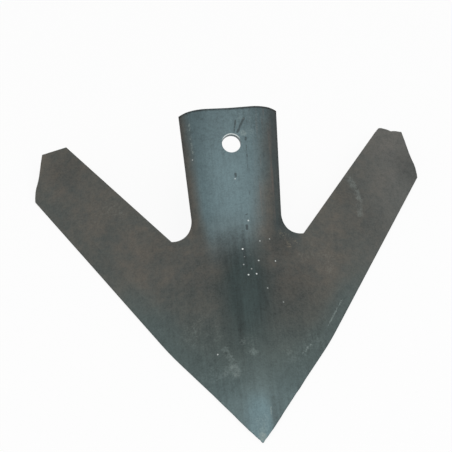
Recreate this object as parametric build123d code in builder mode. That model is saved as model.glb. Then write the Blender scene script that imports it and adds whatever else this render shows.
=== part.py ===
from build123d import *
from math import cos, radians, sin, tan
import os

# A weeder knife: the V-shaped sweep of a cultivator, hot-pressed from one steel plate.
# Millimetres. The nose points along -Y, both wings reach back along +Y, and the stem climbs
# back and up from between them. Z = 0 is the ground that the leading edges run on, and the
# origin lies on it, half-way between the nose and the wing ends.

# The blank, as seen from above. "back" is the distance behind its nose, "out" from the middle.
plate = 5.0
blank_span = 272.0
nose_half_angle = 35.3
wing_half_angle = 31.0
shoulder_back = 73.0
shoulder_radius = 260.0
wing_end_back = 250.2
wing_end_out = 111.6
wing_corner_back = 248.9
wing_corner_out = 128.3
notch_corner_back = 152.0
notch_corner_out = 44.0
notch_top_back = 162.6

# The pressed form: the wings' lift about their leading edges, the crown that joins them, and
# the stem, a trough that is open behind for the foot of the tine.
wing_lift = 17.5
crown_width_at_nose = 15.0
crown_width_at_stem = 48.0
nose_dip = 1.3
nose_dip_length = 40.0
stem_slope = 31.0
stem_foot_back = 147.9
stem_foot_height = 30.8
stem_width_at_foot = 58.4
stem_width_at_top = 65.8
stem_length = 83.8
stem_arch_radius = 102.0
stem_flank_drop = 7.7
bend_ease = 9.0

# The bolt hole in the stem, and the forged bevel of the leading edges.
bolt_hole = 12.5
bolt_hole_from_top = 24.4
bevel_width = 11.0
edge_land = 1.4

# The pressed face is drawn through points this far apart, and past the blank by the margin.
form_step = 5.0
form_margin = 10.0
form_tolerance = 0.1

lift = radians(wing_lift)
slope = radians(stem_slope)
nose_angle = radians(nose_half_angle)
wing_angle = radians(wing_half_angle)
half_span = blank_span / 2
shoulder_out = shoulder_back * tan(nose_angle)
wing_apex_ahead = shoulder_out / tan(wing_angle) - shoulder_back
wing_tip_back = half_span / tan(wing_angle) - wing_apex_ahead
stem_top_back = stem_foot_back + stem_length * cos(slope)
stem_top_height = stem_foot_height + stem_length * sin(slope)

# The blank is cut square to its own surface, so the foot of each leading edge, which runs on
# the ground, lies a little inside the edge's upper corner.
edge_lean = plate * sin(lift)
nose_lean = edge_lean / sin(nose_angle)
middle_back = (nose_lean + wing_end_back) / 2
ground = Plane(origin=(0, -middle_back, 0))


def stem_half_width(back):
    """Half the stem's width, which grows evenly from its foot to its top."""
    share = (back - stem_foot_back) / (stem_top_back - stem_foot_back)
    return (stem_width_at_foot + (stem_width_at_top - stem_width_at_foot) * share) / 2


def arch_drop(out):
    """How far the stem's outer face falls away beside its middle line, square to its slope.

    Past the stem's edge it keeps the slope that it has there.
    """
    half_width = stem_width_at_top / 2
    within = min(abs(out), half_width)
    drop = within**2 / (2 * stem_arch_radius) + stem_flank_drop * (within / half_width) ** 4
    flank_fall = half_width / stem_arch_radius + 4 * stem_flank_drop / half_width
    return drop + flank_fall * (abs(out) - within)


def eased_distance(out, width):
    """Distance from the middle, rounded off within the width of the crown."""
    share = min(2 * abs(out) / width, 1)
    eased = width / 2 * (3 / 8 + 3 / 4 * share**2 - share**4 / 8)
    return eased if share < 1 else abs(out)


def wing_height(out, back):
    """Outer face of the wings and of the crown between them."""
    share = min(max(back / stem_foot_back, 0), 1)
    crown_width = crown_width_at_nose + (crown_width_at_stem - crown_width_at_nose) * share**1.5
    inside = (back + wing_apex_ahead) * sin(wing_angle) - eased_distance(out, crown_width) * cos(wing_angle)
    dip = nose_dip * max(1 - back / nose_dip_length, 0) ** 2
    return plate * cos(lift) + inside * tan(lift) - dip


def stem_height(out, back):
    """Outer face of the stem."""
    return stem_foot_height + (back - stem_foot_back) * tan(slope) - arch_drop(out) / cos(slope)


def form_height(out, back):
    """Outer face of the knife: the higher of wing and stem, with the bend between them eased."""
    wing = wing_height(out, back)
    stem = stem_height(out, back)
    nearness = max(1 - abs(wing - stem) / bend_ease, 0)
    return max(wing, stem) + bend_ease * nearness**3 / 6


def form_rows():
    """Points of the pressed face, in rows across it from the nose to the wing ends."""
    row_count = round((wing_end_back + 2 * form_margin) / form_step) + 1
    side_count = round((half_span + form_margin) / form_step)
    rows = []
    for row in range(row_count):
        back = row * form_step - form_margin
        outs = [column * form_step for column in range(-side_count, side_count + 1)]
        rows.append([ground.from_local_coords((out, back, form_height(out, back))) for out in outs])
    return rows


# The blank, cut straight down through the pressed face.
with BuildPart() as blank:
    with BuildSketch(ground):
        with BuildLine():
            wing_tip = (half_span, wing_tip_back)
            FilletPolyline((0, 0), (shoulder_out, shoulder_back), wing_tip, radius=shoulder_radius)
            notch_corner = (notch_corner_out, notch_corner_back)
            Polyline(wing_tip, (wing_corner_out, wing_corner_back), (wing_end_out, wing_end_back), notch_corner)
            stem_corner_back = stem_top_back + arch_drop(stem_width_at_top / 2) * sin(slope)
            stem_corner = Vector(stem_half_width(stem_corner_back), stem_corner_back)
            notch_top = Vector(stem_half_width(notch_top_back), notch_top_back)
            TangentArc(notch_top, notch_corner, tangent=notch_top - stem_corner)
            Line(notch_top, stem_corner)
            TangentArc((0, stem_top_back), stem_corner, tangent=(1, 0))
            mirror(about=Plane.YZ)
        make_face()
    extrude(amount=stem_top_height + form_margin)

# One leading edge's bevel: a wedge that runs along the foot of the edge, from before the nose
# to past the wing's tip.
nose_along = Vector(sin(nose_angle), cos(nose_angle))
wing_along = Vector(sin(wing_angle), cos(wing_angle))
foot_knee = Vector(shoulder_out, shoulder_back) + Vector(-nose_along.Y, nose_along.X) * edge_lean
foot_tip = Vector(half_span, wing_tip_back) + Vector(-wing_along.Y, wing_along.X) * edge_lean
foot_start = Vector(0, nose_lean) - nose_along * bevel_width
foot_end = foot_tip + wing_along * (wing_end_back - wing_tip_back)

with BuildPart() as bevel:
    with BuildLine(ground) as edge_foot:
        foot_points = [(point.X, point.Y) for point in (foot_start, foot_knee, foot_end)]
        FilletPolyline(*foot_points, radius=shoulder_radius - edge_lean)
    along = edge_foot.line % 0
    with BuildSketch(Plane(origin=edge_foot.line @ 0, x_dir=(-along.Y, along.X, 0), z_dir=along)):
        land_top = Vector(-edge_land * sin(lift), edge_land * cos(lift))
        bevel_top = Vector(bevel_width * cos(lift) - edge_lean, bevel_width * sin(lift) + plate * cos(lift))
        run = bevel_top - land_top
        with BuildLine():
            Polyline(land_top - run, bevel_top + run, land_top - run + Vector(0, 3 * run.Y), close=True)
        make_face()
    sweep(path=edge_foot.line)

form = Face.make_surface_from_array_of_points(form_rows(), tol=form_tolerance, min_deg=3)
pressed = form.intersect(blank.part)[0]
inward = -plate if pressed.normal_at().Z > 0 else plate

with BuildPart() as weeder_knife:
    thicken(pressed, amount=inward)
    for cut in (bevel.part, mirror(bevel.part, about=Plane.YZ)):
        add(cut, mode=Mode.SUBTRACT)
    hole_back = stem_top_back - bolt_hole_from_top * cos(slope)
    hole_height = stem_top_height - bolt_hole_from_top * sin(slope)
    hole_centre = ground.from_local_coords((0, hole_back, hole_height))
    with BuildSketch(Plane(origin=hole_centre, x_dir=(1, 0, 0), z_dir=(0, -sin(slope), cos(slope)))):
        Circle(bolt_hole / 2)
    extrude(amount=2 * plate, both=True, mode=Mode.SUBTRACT)

weeder_knife.part.label = "weeder_knife"
os.makedirs("parts", exist_ok=True)
export_step(weeder_knife.part, "parts/weeder_knife.step")
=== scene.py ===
import math

import bmesh
import bpy
from mathutils import Matrix, Vector


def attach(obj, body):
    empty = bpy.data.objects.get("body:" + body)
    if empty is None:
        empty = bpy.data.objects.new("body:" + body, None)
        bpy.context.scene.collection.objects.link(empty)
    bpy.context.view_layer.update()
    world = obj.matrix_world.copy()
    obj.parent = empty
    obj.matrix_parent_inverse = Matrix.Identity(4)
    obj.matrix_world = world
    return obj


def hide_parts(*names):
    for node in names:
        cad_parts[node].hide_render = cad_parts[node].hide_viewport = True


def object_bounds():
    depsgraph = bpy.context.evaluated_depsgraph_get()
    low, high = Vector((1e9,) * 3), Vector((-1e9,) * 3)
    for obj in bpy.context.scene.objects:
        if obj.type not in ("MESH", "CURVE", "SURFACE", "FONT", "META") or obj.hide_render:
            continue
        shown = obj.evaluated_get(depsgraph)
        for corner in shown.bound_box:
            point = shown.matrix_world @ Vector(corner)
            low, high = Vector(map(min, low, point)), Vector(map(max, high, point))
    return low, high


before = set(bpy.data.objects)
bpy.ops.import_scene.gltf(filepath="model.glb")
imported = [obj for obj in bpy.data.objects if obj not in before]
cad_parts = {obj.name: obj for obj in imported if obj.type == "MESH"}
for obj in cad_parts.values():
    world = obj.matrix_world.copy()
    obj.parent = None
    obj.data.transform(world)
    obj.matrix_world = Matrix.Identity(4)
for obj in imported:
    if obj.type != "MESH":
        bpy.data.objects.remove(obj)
cad_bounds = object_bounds()

# A millimetre and the merging distance in metres, and the least angle of a sharp edge in degrees.
MM = 0.001
MERGE_DISTANCE = 0.000001
SHARP_EDGE = 12.0

# The photograph's view of the knife, fitted to its outline.
VIEW_AZIMUTH = -6.2
VIEW_ELEVATION = 47.62
VIEW_ROLL = 0.77
VIEW_DISTANCE = 900.6 * MM
VIEW_TARGET = Vector((-7.3, 31.8, 25.0)) * MM
VIEW_FOCAL_PIXELS = 1359.4
IMAGE_WIDTH = 452
SENSOR_WIDTH = 36.0

# The surround, the lamp and the floor, in metres and watts.
WHITE = (1.0, 1.0, 1.0, 1.0)
SURROUND_LIGHT = 0.6
LAMP_PLACE = Vector((0.2, -0.4, 1.3))
LAMP_AIM = Vector((0.0, 0.02, 0.0))
LAMP_SIZE = 1.6
LAMP_POWER = 9.0
FLOOR_SIZE = 8.0
FLOOR_PAINT = (0.9, 0.9, 0.9, 1.0)
FLOOR_WHITE_SHARE = 0.9

# The plan of the nose and the leading edges, in millimetres and degrees.
NOSE_Y = -126.4
NOSE_HALF_ANGLE = 35.3
WING_HALF_ANGLE = 31.0
WING_APEX_AHEAD = 13.0

# The stem: its foot, its half-width there and how that grows, and its bowed top edge.
STEM_FOOT_Y = 21.5
STEM_HALF_WIDTH = 29.2
STEM_FLARE = 0.0515
STEM_TOP_Y = 93.3
STEM_TOP_BOW = 0.0062

# The bolt hole, square to the stem.
HOLE_CENTRE = (0.0, 72.4, 61.4)
HOLE_AXIS = (0.0, -0.515, 0.857)
HOLE_RADIUS = 6.25

# How much wider the forged nose is: places along y, and the shift outwards at its edges.
NOSE_WIDENING = (
    (-125.6, 0.5),
    (-123.0, -0.1),
    (-122.0, -0.4),
    (-120.2, -0.1),
    (-118.6, 0.2),
    (-116.3, 0.5),
    (-114.0, 0.85),
    (-107.0, 0.9),
    (-103.0, 0.6),
    (-93.0, 0.5),
    (-87.0, 0.25),
    (-15.0, 0.25),
    (20.0, 0.0),
)
NOSE_CUTS_BEFORE_Y = -80.0

# Where the pressed tip ends, how much it is blunted, and over what length.
TIP_Y = -125.5
TIP_BLUNTING = 2.3
BLUNTED_LENGTH = 6.5

# The slightly hollow ends of both wings: places along y, and the shift outwards.
WING_END_HOLLOW = (
    (86.0, -0.3),
    (88.0, 0.0),
    (90.0, 0.3),
    (94.0, 0.5),
    (96.7, 0.3),
    (99.2, -0.2),
    (101.8, -0.6),
    (105.1, -0.5),
    (108.5, -0.25),
    (112.0, 0.0),
    (115.3, 0.3),
    (119.0, 0.5),
    (123.0, 0.7),
)
END_CUTS_PAST_X = 110.0

# The nick in the right wing's end: places along x, and the shift backwards.
RIGHT_END_NICK = (
    (111.4, -0.7),
    (112.6, 0.2),
    (113.9, 0.6),
    (115.3, 0.5),
    (116.7, 0.4),
    (118.1, 0.3),
    (119.5, -0.2),
    (120.9, -0.8),
    (122.4, -0.1),
    (124.0, 0.3),
    (126.0, 0.4),
    (129.0, 0.6),
)
NICK_CUTS_PAST_X = 100.0
NICK_CUTS_PAST_Y = 90.0

# The wings' ends as lines: a place along y and how far out, and the right one's along x and back.
WING_END_SIDE = ((88.2, 135.2), (122.6, 128.4))
RIGHT_END_BACK = ((111.4, 124.0), (128.4, 122.6))

# How far in from each edge its shift fades out, and how far the plate stays inside the CAD box.
NOSE_REACH = 12.0
END_REACH = 8.0
NICK_REACH = 4.0
BOX_SLACK = 0.02

# Colours of the scale, and of painted shade, sheen and highlights, as 8-bit values.
BROWN_SCALE = (84, 80, 73)
GREY_SCALE = (73, 77, 74)
# Painted light on the right wing's tip.
WING_TIP_PAINTED_LIGHT = (95, 95, 92)
# Blue-grey scale of the stem, with a painted sheen of the lamp in it.
BLUE_SCALE_AND_SHEEN = (87, 106, 110)
LOW_SCALE = (71, 84, 82)
# Painted bluish sheen along the leading edges.
EDGE_SHEEN_TEAL = (75, 88, 87)
# Painted shade on the crown.
CROWN_PAINTED_SHADE = (48, 62, 61)
# Painted highlight on the nose.
NOSE_HIGHLIGHT_BLUE = (89, 110, 114)
RUST_STREAK = (100, 89, 83)
# Bare steel of specks and of the hole's worn rim, whose upper side also carries a painted glint.
BARE_STEEL_AND_GLINT = (215, 220, 218)
SOOT = (36, 45, 47)
# Painted shade on the stem's flanks.
FLANK_SHADE_TEAL = (48, 63, 65)
# Pale dust, also used for painted glints.
PALE_DUST_AND_GLINT = (126, 138, 135)
# Painted warm highlight at the right notch.
WARM_HIGHLIGHT = (138, 128, 108)

# Noises of the scale: grain in millimetres, detail, roughness and, for streaks, the stretch.
NOISES = {
    "patches": (34.0, 3.0, 0.55),
    "blotches": (9.0, 3.0, 0.6),
    "mottle": (3.6, 3.0, 0.65),
    "grain": (1.2, 2.0, 0.6),
    "streaks": (2.2, 3.0, 0.6, (1.0, 0.06, 0.06)),
    "ripples": (16.0, 2.0, 0.5),
}

# How far the lines between colours wander with the noises, in millimetres or shares of an oval.
WANDER = 5.0
LEFT_WANDER = 2.5
OVAL_WANDER = 0.15
NOSE_SIDE_WANDER = 2.0
NOSE_START_WANDER = 3.0

# Sides of the stem's blue-grey scale and its painted sheen at y = 0, and how they slant.
BLUE_LEFT_LINE = (20.2, 0.095)
BLUE_RIGHT_LINE = (-8.0, -0.2)

# The crown's ridge line, and ovals in the plan for the painted shade on the crown and the painted highlight
# on the nose: middle and reach.
RIDGE_X = -1.0
CROWN_OVAL = ((1.0, -21.0), (22.0, 55.0))
ROUND_CROWN_OVAL = ((4.0, -22.0), (62.0, 56.0))
NOSE_OVAL = ((-1.0, -114.0), (16.0, 28.0))

# Regions of the scale and of the painted shade and highlights: bands of a gauge, each from where it starts
# to where it is full.
CROWN_BANDS = (("crown oval", 1.15, 0.3), ("y", 36.0, 12.0))
NOSE_START_BAND = ("streaked y", -86.0, -104.0)
REGIONS = {
    "low down": (("loose y", 25.0, -35.0),),
    "low body": (("loose y", 5.0, -75.0),),
    "edge band": (("loose edge gap", 20.0, 3.0),),
    "edge rim": (("edge gap", 2.0, 0.8),),
    "flank": (("flank gap", 2.6, 0.6), ("y", 24.0, 34.0), ("out", 42.0, 38.0)),
    "right flank": (("flank gap", 7.0, 3.5), ("x", 10.0, 20.0), ("x", 44.0, 38.0), ("y", 12.0, 28.0)),
    "top edge": (("top gap", 1.6, 0.7),),
    "stem": (("blue left", -4.0, 4.0), ("blue right", 10.0, -9.0), ("loose y", -8.0, 37.0)),
    "stem top": (("y", 55.0, 92.0), ("out", 42.0, 34.0)),
    "crown": CROWN_BANDS,
    "ridge": (("ridge gap", 3.0, 0.5), *CROWN_BANDS),
    "round crown": (("round crown oval", 1.1, 0.3),),
    "right side": (("x", 3.0, 12.0), ("x", 42.0, 34.0), ("y", 0.0, 20.0)),
    "rusted": (("x", 10.0, 18.0), ("x", 30.0, 25.0), ("y", 10.0, 35.0), ("streaks", 0.0, 0.5)),
    "wing tip": (("loose x", 70.0, 125.0),),
    "near nose": (("y", -60.0, -108.0),),
    # Where the nose's painted highlight lies.
    "nose": (
        ("streaked x", -13.0, -2.0),
        ("mottled x", 8.8, 5.2),
        ("nose oval", 1.1, 0.4),
        NOSE_START_BAND,
    ),
    "right of nose": (("x", 5.5, 9.0), NOSE_START_BAND),
    "rounded nose": (("y", -82.0, -100.0),),
    # The hole's worn rim, bright on its upper side only as a painted glint.
    "hole rim": (("rim gap", 0.8, 0.2), ("rim depth", -1.1, -0.5), ("y", 74.0, 77.0)),
}

# The brown and grey of the plain scale follow these noises, over this range.
SCALE_TINT = {"patches": 1.0, "blotches": 1.0, "mottle": 0.7}
SCALE_TINT_RANGE = (-0.9, 0.9)

# The painted bluish sheen along the leading edges shows least up on the wings and most low down.
EDGE_BAND_LEAST = 0.15
EDGE_BAND_GROWTH = {"low down": 0.7}

# Colours laid over the plain scale, painted shade, sheen and highlights among them, in order: region, share
# and colour.
TINTS = (
    # Painted light on the right wing's tip.
    ("wing tip", 0.6, WING_TIP_PAINTED_LIGHT),
    ("low body", 0.85, LOW_SCALE),
    # Painted bluish sheen along the leading edges.
    ("edge band", 1.0, EDGE_SHEEN_TEAL),
    # Painted shade on the crown.
    ("crown", 1.0, CROWN_PAINTED_SHADE),
    # The stem's blue-grey, partly scale and partly a painted sheen.
    ("stem", 1.0, BLUE_SCALE_AND_SHEEN),
    # Painted shade on the stem's right flank.
    ("right flank", 0.65, FLANK_SHADE_TEAL),
    ("rusted", 0.55, RUST_STREAK),
    # Painted highlight on and near the nose.
    ("near nose", 0.4, NOSE_HIGHLIGHT_BLUE),
    ("nose", 1.0, NOSE_HIGHLIGHT_BLUE),
)

# How strong the streaks along the knife are everywhere, and how much more in some regions.
STREAKINESS_LEAST = 0.1
STREAKINESS_GROWTH = {"crown": 0.34, "stem": 0.136, "low body": 0.16}

# How much lighter or darker the noises, the dark patches and the regions make the colour; the regions give
# painted shade and highlights.
GAINS = {
    "grain": 0.38,
    "mottle": 0.23,
    "blotches": 0.16,
    "patches": 0.12,
    "streaking": 1.0,
    "dark patches": -0.3,
    # Painted shade over a wider oval on the crown.
    "round crown": -0.24,
    # Painted shade on the stem's right side.
    "right side": -0.1,
    # Painted shade right of the nose's highlight.
    "right of nose": -0.18,
    # Painted shade towards the stem's top.
    "stem top": -0.2,
    # Painted shade on the stem's flanks.
    "flank": -0.2,
    # Painted highlight along the crown's ridge line.
    "ridge": 0.2,
    # Painted shade on the edge faces: the stem's top edge and the rims of the leading edges.
    "top edge": -0.5,
    "edge rim": -0.2,
}

# Patches painted darker: middle, reach and strength.
DARK_PATCHES = (
    ((-112.0, 104.0, 20.0), 24.0, 0.55),
    ((133.0, 92.0, 5.0), 22.0, 0.8),
    ((34.0, -28.0, 13.0), 36.0, 0.5),
    ((-4.0, 10.0, 27.0), 20.0, 0.8),
    ((26.0, 12.0, 22.0), 14.0, 0.5),
    ((-50.0, 20.0, 20.0), 20.0, 0.3),
    ((95.0, 40.0, 10.0), 22.0, 0.4),
    ((78.0, 62.0, 17.0), 16.0, 0.4),
)

# Bare specks on the crown and round it: place, radius and strength.
SPECKS = (
    ((1.3, 8.9, 27.0), 0.82, 1.0),
    ((13.3, 14.6, 27.3), 0.6, 0.6),
    ((19.9, 16.7, 26.2), 0.56, 0.55),
    ((10.9, 0.5, 24.2), 0.77, 0.7),
    ((13.4, 0.0, 24.1), 0.52, 0.35),
    ((22.1, 1.3, 21.7), 0.65, 0.95),
    ((0.8, -2.6, 24.9), 0.69, 0.45),
    ((1.9, 3.2, 25.9), 0.52, 0.3),
    ((3.1, -10.5, 23.7), 0.77, 1.0),
    ((8.4, -9.7, 23.2), 0.77, 0.95),
    ((5.6, -6.0, 24.1), 0.69, 0.4),
    ((14.5, -19.8, 20.3), 0.69, 0.45),
    ((23.7, -29.0, 16.3), 0.69, 0.35),
    ((-21.7, -63.1, 11.3), 0.69, 0.7),
    ((6.9, 27.2, 34.0), 0.69, 0.7),
    ((-26.3, 68.8, 51.6), 0.69, 0.5),
    ((0.5, 51.6, 49.0), 0.69, 0.5),
    ((8.6, 92.0, 72.0), 0.69, 0.5),
    ((-20.0, 47.0, 45.5), 0.6, 0.4),
)
# The hole's rim is worn bare, with a painted glint on its upper side only.
RIM_BARENESS_AND_GLINT = 0.7

# Pale lines, partly rubbed marks and partly painted glints along the stem's left bend, the nose and the
# right leading edge's arris: start, end, width and strength.
PALE_LINES_AND_GLINTS = (
    ((-27.0, 91.0, 64.4), (-25.8, 71.5, 53.7), 1.4, 0.8),
    ((7.0, -101.9, 6.5), (6.8, -106.2, 5.0), 0.9, 0.75),
    ((-0.6, -121.6, 2.4), (0.7, -119.4, 3.1), 1.9, 1.15),
    ((51.6, -41.4, 5.0), (63.6, -21.4, 5.1), 1.1, 1.0),
    ((38.8, -56.2, 7.0), (33.4, -63.1, 7.3), 1.1, 0.75),
    ((35.8, -59.4, 7.4), (31.2, -64.8, 7.8), 1.1, 0.7),
)

# Painted warm highlight where the right notch curves from the stem into the wing, as lines: start, end,
# width and strength.
WARM_NOTCH_HIGHLIGHTS = (
    ((27.2, 24.5, 24.6), (33.5, 14.0, 20.2), 3.4, 0.7),
    ((30.3, 24.0, 22.8), (39.5, 17.0, 19.6), 2.6, 0.55),
)

# Dust, and a painted highlight on the nose's tip, as spots with a middle, reach and strength, and lines
# with a start, end, width and strength.
DUST_AND_TIP_GLINT = (
    ((-5.5, -58.5, 16.2), 5.0, 0.8),
    ((0.3, -66.0, 15.5), 6.0, 0.8),
    ((-1.0, -60.0, 16.0), 14.0, 0.45),
    ((-32.0, -46.0, 11.0), 26.0, 0.5),
    ((42.0, -55.0, 6.0), 18.0, 0.6),
    ((8.3, 78.3, 64.5), 4.5, 0.9),
    ((-57.0, -35.5, 3.8), 9.0, 0.55),
    ((28.0, -70.0, 6.0), 22.0, 0.5),
    ((12.0, 85.0, 68.0), 22.0, 0.5),
    ((57.0, 6.0, 13.0), 14.0, 0.55),
    ((50.0, 5.0, 15.0), 30.0, 0.4),
    # These two spots are a painted highlight on the nose's tip.
    ((0.2, -120.0, 2.9), 5.5, 1.1),
    ((0.0, -113.0, 5.0), 12.0, 0.75),
    ((-84.0, 60.0, 16.0), 22.0, 0.5),
    ((-20.0, -75.0, 8.0), 22.0, 0.55),
    ((82.9, 76.0, 17.3), (87.6, 60.3, 13.5), 5.5, 0.75),
    ((87.6, 60.3, 13.5), (86.0, 46.0, 12.8), 5.0, 0.65),
    ((-17.0, -61.1, 12.9), (-11.0, -78.9, 11.4), 5.0, 0.85),
)

# Sooty streaks and dents: start, end, width and strength.
SOOT_STREAKS = (
    ((9.6, 87.0, 69.6), (4.6, 79.0, 65.2), 1.3, 1.0),
    ((4.0, 86.0, 69.3), (2.2, 78.5, 65.4), 1.1, 0.8),
    ((9.8, 75.5, 62.8), (9.6, 74.5, 62.0), 1.3, 0.9),
    ((9.8, 71.0, 60.2), (9.5, 55.0, 50.5), 0.7, 0.6),
    ((1.0, 54.5, 50.5), (1.0, 52.8, 49.5), 1.5, 0.9),
    ((5.0, 30.5, 36.0), (6.6, 31.0, 36.2), 0.8, 0.7),
    ((5.0, 30.5, 36.0), (4.6, 28.5, 35.0), 0.8, 0.6),
    ((8.6, 29.0, 35.0), (8.9, 26.6, 33.8), 0.8, 0.6),
    ((5.6, 24.0, 32.5), (5.4, 22.2, 31.5), 1.4, 1.0),
    ((9.2, 44.0, 44.0), (9.2, 42.5, 43.2), 0.9, 0.6),
)

# Marks on the scale and painted glints, in order: rows, the noises that break them up, their range, share
# and colour.
FLECKS = {"mottle": 0.9, "grain": 0.9}
DRIFTS = {"mottle": 0.45, "grain": 0.45, "blotches": 0.5}
MARKS = (
    (SOOT_STREAKS, FLECKS, (0.3, 1.0), 0.8, SOOT),
    (DUST_AND_TIP_GLINT, DRIFTS, (0.45, 1.5), 0.6, PALE_DUST_AND_GLINT),
    (WARM_NOTCH_HIGHLIGHTS, FLECKS, (0.55, 1.25), 0.5, WARM_HIGHLIGHT),
    (PALE_LINES_AND_GLINTS, FLECKS, (0.55, 1.25), 0.6, PALE_DUST_AND_GLINT),
)

# A stroke is at its full strength within this share of its width.
STROKE_CORE = 0.25
SHORTEST_RUN_SQUARE = 0.0001

# Gloss and fine relief of the scale, the relief in millimetres.
METALLIC = 0.5
ROUGHNESS = 0.48
ROUGHNESS_CHANGE = {"blotches": 0.07, "grain": 0.05}
RELIEF = {"ripples": 0.1, "grain": 0.012, "mottle": 0.02}

# How far the nose's facets are rounded over, and towards which slope.
NOSE_ROUNDING = 0.85
NOSE_SLOPE = (0.0, -0.45, 0.89)

# The colour sockets of Blender's Mix node, which share their names with others.
MIX_FIRST = 6
MIX_SECOND = 7
MIX_RESULT = 2


def linear(color):
    """A colour given as 8-bit sRGB values, as Blender's linear colour."""
    shares = [value / 255 for value in color]
    channels = [share / 12.92 if share <= 0.04045 else ((share + 0.055) / 1.055) ** 2.4 for share in shares]
    return channels + [1.0]


class NodeBench:
    """Short words for laying out a tree of shader nodes."""

    def __init__(self, tree):
        self.tree = tree

    def feed(self, socket, value):
        """Link another node's output to a socket, or set the socket's own value."""
        if isinstance(value, bpy.types.NodeSocket):
            self.tree.links.new(value, socket)
        else:
            socket.default_value = value

    def math(self, operation, *values, clamp=False):
        node = self.tree.nodes.new("ShaderNodeMath")
        node.operation = operation
        node.use_clamp = clamp
        for socket, value in zip(node.inputs, values):
            self.feed(socket, value)
        return node.outputs[0]

    def vector_node(self, operation, *values):
        node = self.tree.nodes.new("ShaderNodeVectorMath")
        node.operation = operation
        for socket, value in zip(node.inputs, values):
            self.feed(socket, value)
        return node

    def vector(self, operation, *values):
        """Vector maths that gives a vector."""
        return self.vector_node(operation, *values).outputs["Vector"]

    def measure(self, operation, *values):
        """Vector maths that gives a number, such as a length."""
        return self.vector_node(operation, *values).outputs["Value"]

    def scaled(self, vector, scale):
        """A vector or colour times a number, which may change over the surface."""
        node = self.vector_node("SCALE", vector)
        self.feed(node.inputs["Scale"], scale)
        return node.outputs["Vector"]

    def split(self, vector):
        node = self.tree.nodes.new("ShaderNodeSeparateXYZ")
        self.feed(node.inputs[0], vector)
        return node.outputs

    def step(self, value, start, full):
        """A smooth step from 0 at the start to 1 where it is full, on either side of it."""
        node = self.tree.nodes.new("ShaderNodeMapRange")
        node.interpolation_type = "SMOOTHSTEP"
        self.feed(node.inputs["Value"], value)
        self.feed(node.inputs["From Min"], min(start, full))
        self.feed(node.inputs["From Max"], max(start, full))
        self.feed(node.inputs["To Min"], 0.0 if start < full else 1.0)
        self.feed(node.inputs["To Max"], 1.0 if start < full else 0.0)
        return node.outputs["Result"]

    def noise(self, vector, grain, detail, roughness, stretch=(1.0, 1.0, 1.0)):
        """Noise from -1 to 1 with grains of about the given size, in the vector's units."""
        stretched = self.vector("MULTIPLY", vector, [share / grain for share in stretch])
        node = self.tree.nodes.new("ShaderNodeTexNoise")
        self.feed(node.inputs["Vector"], stretched)
        node.inputs["Scale"].default_value = 1.0
        node.inputs["Detail"].default_value = detail
        node.inputs["Roughness"].default_value = roughness
        return self.math("MULTIPLY_ADD", node.outputs["Fac"], 2.0, -1.0)

    def mix(self, factor, first, second):
        node = self.tree.nodes.new("ShaderNodeMix")
        node.data_type = "RGBA"
        node.clamp_factor = True
        self.feed(node.inputs["Factor"], factor)
        self.feed(node.inputs[MIX_FIRST], first)
        self.feed(node.inputs[MIX_SECOND], second)
        return node.outputs[MIX_RESULT]

    def group(self, tree, **values):
        node = self.tree.nodes.new("ShaderNodeGroup")
        node.node_tree = tree
        for name, value in values.items():
            self.feed(node.inputs[name], value)
        return node.outputs[0]


def add_camera():
    """The camera at the photograph's angle."""
    azimuth = math.radians(VIEW_AZIMUTH)
    elevation = math.radians(VIEW_ELEVATION)
    back = Vector((
        math.sin(azimuth) * math.cos(elevation),
        -math.cos(azimuth) * math.cos(elevation),
        math.sin(elevation),
    ))
    right = Vector((math.cos(azimuth), math.sin(azimuth), 0.0))
    up = back.cross(right)
    turn = Matrix((right, up, back)).transposed() @ Matrix.Rotation(math.radians(VIEW_ROLL), 3, "Z")
    data = bpy.data.cameras.new("camera")
    data.sensor_width = SENSOR_WIDTH
    data.lens = VIEW_FOCAL_PIXELS / IMAGE_WIDTH * SENSOR_WIDTH
    camera = bpy.data.objects.new("camera", data)
    camera.matrix_world = Matrix.Translation(VIEW_TARGET + back * VIEW_DISTANCE) @ turn.to_4x4()
    bpy.context.scene.collection.objects.link(camera)
    bpy.context.scene.camera = camera


def seen_rays(bench):
    """1 for the rays that show the surround: the camera's, and those of gloss and glass."""
    path = bench.tree.nodes.new("ShaderNodeLightPath").outputs
    seen = bench.math("ADD", path["Is Camera Ray"], path["Is Glossy Ray"])
    return bench.math("ADD", seen, path["Is Transmission Ray"], clamp=True)


def set_world():
    """An even surround: white where it is seen, also in gloss, and softer as light."""
    world = bpy.data.worlds.new("surround")
    world.use_nodes = True
    bpy.context.scene.world = world
    bench = NodeBench(world.node_tree)
    background = world.node_tree.nodes["Background"]
    background.inputs["Color"].default_value = WHITE
    strength = bench.math("MULTIPLY_ADD", seen_rays(bench), 1.0 - SURROUND_LIGHT, SURROUND_LIGHT)
    bench.feed(background.inputs["Strength"], strength)


def add_softbox():
    """One large soft lamp, above the knife and before it."""
    data = bpy.data.lights.new("softbox", "AREA")
    data.shape = "SQUARE"
    data.size = LAMP_SIZE
    data.energy = LAMP_POWER
    lamp = bpy.data.objects.new("softbox", data)
    turn = (LAMP_AIM - LAMP_PLACE).to_track_quat("-Z", "Y")
    lamp.matrix_world = Matrix.Translation(LAMP_PLACE) @ turn.to_matrix().to_4x4()
    bpy.context.scene.collection.objects.link(lamp)


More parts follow.
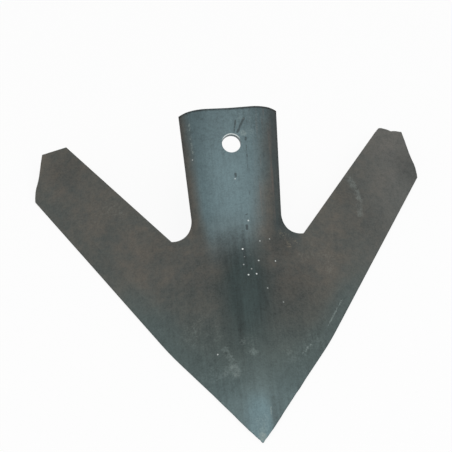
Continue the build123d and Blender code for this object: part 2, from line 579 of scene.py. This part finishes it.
def floor_paint():
    """Matt pale paint, lifted towards white where it is seen."""
    material = bpy.data.materials.new("floor")
    material.use_nodes = True
    tree = material.node_tree
    bench = NodeBench(tree)
    shader = tree.nodes["Principled BSDF"]
    shader.inputs["Base Color"].default_value = FLOOR_PAINT
    shader.inputs["Roughness"].default_value = 1.0
    shader.inputs["Specular IOR Level"].default_value = 0.0
    glow = tree.nodes.new("ShaderNodeEmission")
    blend = tree.nodes.new("ShaderNodeMixShader")
    bench.feed(blend.inputs[0], bench.math("MULTIPLY", seen_rays(bench), FLOOR_WHITE_SHARE))
    bench.feed(blend.inputs[1], shader.outputs[0])
    bench.feed(blend.inputs[2], glow.outputs[0])
    bench.feed(tree.nodes["Material Output"].inputs["Surface"], blend.outputs[0])
    return material


def add_floor():
    """The pale floor that the knife stands on."""
    bpy.ops.mesh.primitive_plane_add(size=FLOOR_SIZE, location=(0, 0, 0))
    floor = bpy.context.object
    floor.name = "floor"
    floor.data.materials.append(floor_paint())


def on_line(place, start, end):
    """The value at a place on the straight line through two rows of a place and a value."""
    return start[1] + (end[1] - start[1]) * (place - start[0]) / (end[0] - start[0])


def shift_at(place, rows):
    """The shift at a place, straight between a table's rows, and 0 outside them."""
    for start, end in zip(rows, rows[1:]):
        if start[0] <= place < end[0]:
            return on_line(place, start, end)
    return 0.0


def fading(gap, reach):
    """1 on an edge and outside it, falling to 0 where the gap inside it is the reach."""
    return min(max(1.0 - gap / reach, 0.0), 1.0)


def worn_point(point):
    """Where a point of the pressed plate, in millimetres, lies on the worn one."""
    x, y, z = point
    out = abs(x)
    nose_angle = math.radians(NOSE_HALF_ANGLE)
    nose_gap = (y - NOSE_Y) * math.sin(nose_angle) - out * math.cos(nose_angle)
    end_gap = on_line(y, *WING_END_SIDE) - out
    back_gap = on_line(x, *RIGHT_END_BACK) - y
    moved_out = shift_at(y, NOSE_WIDENING) * fading(nose_gap, NOSE_REACH)
    moved_out += shift_at(y, WING_END_HOLLOW) * fading(end_gap, END_REACH)
    moved_back = TIP_BLUNTING * fading(y - TIP_Y, BLUNTED_LENGTH) ** 2
    moved_back += shift_at(x, RIGHT_END_NICK) * fading(back_gap, NICK_REACH)
    widest = cad_bounds[1][0] / MM - BOX_SLACK
    furthest = cad_bounds[1][1] / MM - BOX_SLACK
    side = math.copysign(1.0, x) if out > MERGE_DISTANCE / MM else 0.0
    return Vector((side * min(out + moved_out, widest), min(y + moved_back, furthest), z))


def cut_at_rows(blank, rows, direction, nearby):
    """New points where the faces nearby cross the places of a table's inner rows."""
    for place, _ in rows[1:-1]:
        faces = [face for face in blank.faces if nearby(face.calc_center_median() / MM)]
        edges = {edge for face in faces for edge in face.edges}
        points = {point for face in faces for point in face.verts}
        geometry = faces + list(edges) + list(points)
        spot = Vector(direction) * place * MM
        bmesh.ops.bisect_plane(blank, geom=geometry, dist=MERGE_DISTANCE, plane_co=spot, plane_no=direction)


def by_nose(spot):
    return spot.y < NOSE_CUTS_BEFORE_Y


def by_wing_end(spot):
    return abs(spot.x) > END_CUTS_PAST_X


def by_nick(spot):
    return spot.x > NICK_CUTS_PAST_X and spot.y > NICK_CUTS_PAST_Y


def worn_plate(cad_mesh):
    """The pressed plate with a wider, blunter nose, hollow wing ends and a nick in the right one."""
    blank = bmesh.new()
    blank.from_mesh(cad_mesh)
    bmesh.ops.remove_doubles(blank, verts=blank.verts, dist=MERGE_DISTANCE)
    cut_at_rows(blank, NOSE_WIDENING, (0, 1, 0), by_nose)
    cut_at_rows(blank, WING_END_HOLLOW, (0, 1, 0), by_wing_end)
    cut_at_rows(blank, RIGHT_END_NICK, (1, 0, 0), by_nick)
    for point in blank.verts:
        point.co = worn_point(point.co / MM) * MM
    bmesh.ops.triangulate(blank, faces=blank.faces)
    mesh = bpy.data.meshes.new("knife_plate")
    blank.to_mesh(mesh)
    blank.free()
    mesh.polygons.foreach_set("use_smooth", [True] * len(mesh.polygons))
    mesh.set_sharp_from_angle(angle=math.radians(SHARP_EDGE))
    piece = bpy.data.objects.new("knife_plate", mesh)
    bpy.context.scene.collection.objects.link(piece)
    return piece


def stroke_group():
    """A mark along a line from one point to another: full in its core, fading to its width."""
    tree = bpy.data.node_groups.new("stroke", "ShaderNodeTree")
    for name in ("Place", "From", "To"):
        tree.interface.new_socket(name, in_out="INPUT", socket_type="NodeSocketVector")
    for name in ("Width", "Strength"):
        tree.interface.new_socket(name, in_out="INPUT", socket_type="NodeSocketFloat")
    tree.interface.new_socket("Mask", in_out="OUTPUT", socket_type="NodeSocketFloat")
    bench = NodeBench(tree)
    source = tree.nodes.new("NodeGroupInput").outputs
    run = bench.vector("SUBTRACT", source["To"], source["From"])
    from_start = bench.vector("SUBTRACT", source["Place"], source["From"])
    run_square = bench.math("MAXIMUM", bench.measure("DOT_PRODUCT", run, run), SHORTEST_RUN_SQUARE)
    share = bench.math("DIVIDE", bench.measure("DOT_PRODUCT", from_start, run), run_square, clamp=True)
    distance = bench.measure("DISTANCE", from_start, bench.scaled(run, share))
    mask = bench.step(bench.math("DIVIDE", distance, source["Width"]), 1.0, STROKE_CORE)
    sink = tree.nodes.new("NodeGroupOutput").inputs
    bench.feed(sink["Mask"], bench.math("MULTIPLY", mask, source["Strength"]))
    return tree


def strongest_mark(bench, place, stroke, rows):
    """The strongest of several marks at each place. A spot is a stroke with no end of its own."""
    mask = 0.0
    for start, *end, width, strength in rows:
        ends = {"From": start, "To": end[0] if end else start}
        drawn = bench.group(stroke, Place=place, Width=width, Strength=strength, **ends)
        mask = bench.math("MAXIMUM", drawn, mask)
    return mask


def plate_gauges(bench, place, noises):
    """What the regions are measured along: millimetres, shares of an oval, or a noise."""
    x, y, _ = bench.split(place)
    out = bench.math("ABSOLUTE", x)

    def rising(base, slope):
        """A length that grows evenly along the knife."""
        return bench.math("MULTIPLY_ADD", y, slope, base)

    def loose(gauge, noise="patches", wander=WANDER):
        """A gauge whose lines wander with a noise."""
        return bench.math("MULTIPLY_ADD", noises[noise], wander, gauge)

    def inside(half_angle, ahead):
        """Distance inside the line of a leading edge."""
        angle = math.radians(half_angle)
        along = rising((ahead - NOSE_Y) * math.sin(angle), math.sin(angle))
        return bench.math("SUBTRACT", along, bench.math("MULTIPLY", out, math.cos(angle)))

    def oval(middle, reach):
        """Distance from a spot in the plan, in shares of the oval round it."""
        from_middle = bench.vector("SUBTRACT", place, (*middle, 0.0))
        shares = bench.vector("MULTIPLY", from_middle, (1 / reach[0], 1 / reach[1], 0.0))
        return loose(bench.measure("LENGTH", shares), wander=OVAL_WANDER)

    edge_gap = bench.math("MINIMUM", inside(WING_HALF_ANGLE, WING_APEX_AHEAD), inside(NOSE_HALF_ANGLE, 0.0))
    stem_side = rising(STEM_HALF_WIDTH - STEM_FOOT_Y * STEM_FLARE, STEM_FLARE)
    top_line = bench.math("MULTIPLY_ADD", bench.math("MULTIPLY", x, x), STEM_TOP_BOW, STEM_TOP_Y)
    left_gap = bench.math("ADD", x, rising(*BLUE_LEFT_LINE))
    right_gap = bench.math("ADD", x, rising(*BLUE_RIGHT_LINE))
    from_hole = bench.vector("SUBTRACT", place, HOLE_CENTRE)
    from_hole_axis = bench.measure("LENGTH", bench.vector("CROSS_PRODUCT", from_hole, HOLE_AXIS))
    return {
        "x": x,
        "y": y,
        "out": out,
        "loose x": loose(x),
        "loose y": loose(y),
        "edge gap": edge_gap,
        "loose edge gap": loose(edge_gap),
        "flank gap": bench.math("SUBTRACT", stem_side, out),
        "top gap": bench.math("SUBTRACT", top_line, y),
        "blue left": loose(left_gap, wander=LEFT_WANDER),
        "blue right": loose(right_gap),
        "ridge gap": bench.math("ABSOLUTE", bench.math("SUBTRACT", x, RIDGE_X)),
        "crown oval": oval(*CROWN_OVAL),
        "round crown oval": oval(*ROUND_CROWN_OVAL),
        "nose oval": oval(*NOSE_OVAL),
        "streaks": noises["streaks"],
        "streaked x": loose(x, "streaks", NOSE_SIDE_WANDER),
        "mottled x": loose(x, "mottle", 1.0),
        "streaked y": loose(y, "streaks", NOSE_START_WANDER),
        "rim gap": bench.math("ABSOLUTE", bench.math("SUBTRACT", from_hole_axis, HOLE_RADIUS)),
        "rim depth": bench.measure("DOT_PRODUCT", from_hole, HOLE_AXIS),
    }


def region_mask(bench, gauges, bands):
    """How far each place lies inside every band of a region, from 0 to 1."""
    mask = 1.0
    for gauge, start, full in bands:
        mask = bench.math("MULTIPLY", bench.step(gauges[gauge], start, full), mask)
    return mask


def blended(bench, base, fields, shares):
    """A base with noises and regions added to it, each times its share."""
    total = base
    for name, share in shares.items():
        total = bench.math("MULTIPLY_ADD", fields[name], share, total)
    return total


def rounded_normal(bench, nose_mask):
    """The surface's own normal, turned towards one soft slope where the nose is rounded over."""
    facet = bench.tree.nodes.new("ShaderNodeNewGeometry").outputs["Normal"]
    turn = bench.vector("SUBTRACT", NOSE_SLOPE, facet)
    share = bench.math("MULTIPLY", nose_mask, NOSE_ROUNDING)
    return bench.vector("NORMALIZE", bench.vector("ADD", facet, bench.scaled(turn, share)))


def scaled_steel():
    """Dark forging scale: blue-grey on the stem and nose, partly a painted sheen and highlight, brown on
    the wings, with painted shade and highlights in places.
    """
    material = bpy.data.materials.new("scaled_steel")
    material.use_nodes = True
    tree = material.node_tree
    bench = NodeBench(tree)
    shader = tree.nodes["Principled BSDF"]
    place = bench.scaled(tree.nodes.new("ShaderNodeTexCoord").outputs["Object"], 1 / MM)
    stroke = stroke_group()

    noises = {name: bench.noise(place, *settings) for name, settings in NOISES.items()}
    gauges = plate_gauges(bench, place, noises)
    regions = {name: region_mask(bench, gauges, bands) for name, bands in REGIONS.items()}
    fields = {**noises, **regions}
    edge_strength = blended(bench, EDGE_BAND_LEAST, fields, EDGE_BAND_GROWTH)
    fields["edge band"] = bench.math("MULTIPLY", fields["edge band"], edge_strength)
    streakiness = blended(bench, STREAKINESS_LEAST, fields, STREAKINESS_GROWTH)
    fields["streaking"] = bench.math("MULTIPLY", noises["streaks"], streakiness)
    fields["dark patches"] = strongest_mark(bench, place, stroke, DARK_PATCHES)

    tint = bench.step(blended(bench, 0.0, fields, SCALE_TINT), *SCALE_TINT_RANGE)
    color = bench.mix(tint, linear(GREY_SCALE), linear(BROWN_SCALE))
    for region, share, tone in TINTS:
        color = bench.mix(bench.math("MULTIPLY", fields[region], share), color, linear(tone))
    color = bench.scaled(color, blended(bench, 1.0, fields, GAINS))
    for rows, breaking, limits, share, tone in MARKS:
        mask = blended(bench, strongest_mark(bench, place, stroke, rows), fields, breaking)
        color = bench.mix(bench.math("MULTIPLY", bench.step(mask, *limits), share), color, linear(tone))
    # Bare specks, and the hole's rim with a painted glint on its upper side.
    bare_rim_and_glint = bench.math("MULTIPLY", fields["hole rim"], RIM_BARENESS_AND_GLINT)
    bare_and_glint = bench.math("MAXIMUM", strongest_mark(bench, place, stroke, SPECKS), bare_rim_and_glint)
    color = bench.mix(bare_and_glint, color, linear(BARE_STEEL_AND_GLINT))

    bump = tree.nodes.new("ShaderNodeBump")
    bump.inputs["Strength"].default_value = 1.0
    bump.inputs["Distance"].default_value = MM
    bench.feed(bump.inputs["Height"], blended(bench, 0.0, fields, RELIEF))
    bench.feed(bump.inputs["Normal"], rounded_normal(bench, fields["rounded nose"]))

    bench.feed(shader.inputs["Base Color"], color)
    shader.inputs["Metallic"].default_value = METALLIC
    bench.feed(shader.inputs["Roughness"], blended(bench, ROUGHNESS, fields, ROUGHNESS_CHANGE))
    bench.feed(shader.inputs["Normal"], bump.outputs["Normal"])
    return material


add_camera()
set_world()
add_softbox()
add_floor()
bpy.context.scene.view_settings.view_transform = "Standard"
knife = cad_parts["weeder_knife"]
plate = worn_plate(knife.data)
plate.data.materials.append(scaled_steel())
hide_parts("weeder_knife")
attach(plate, "root")
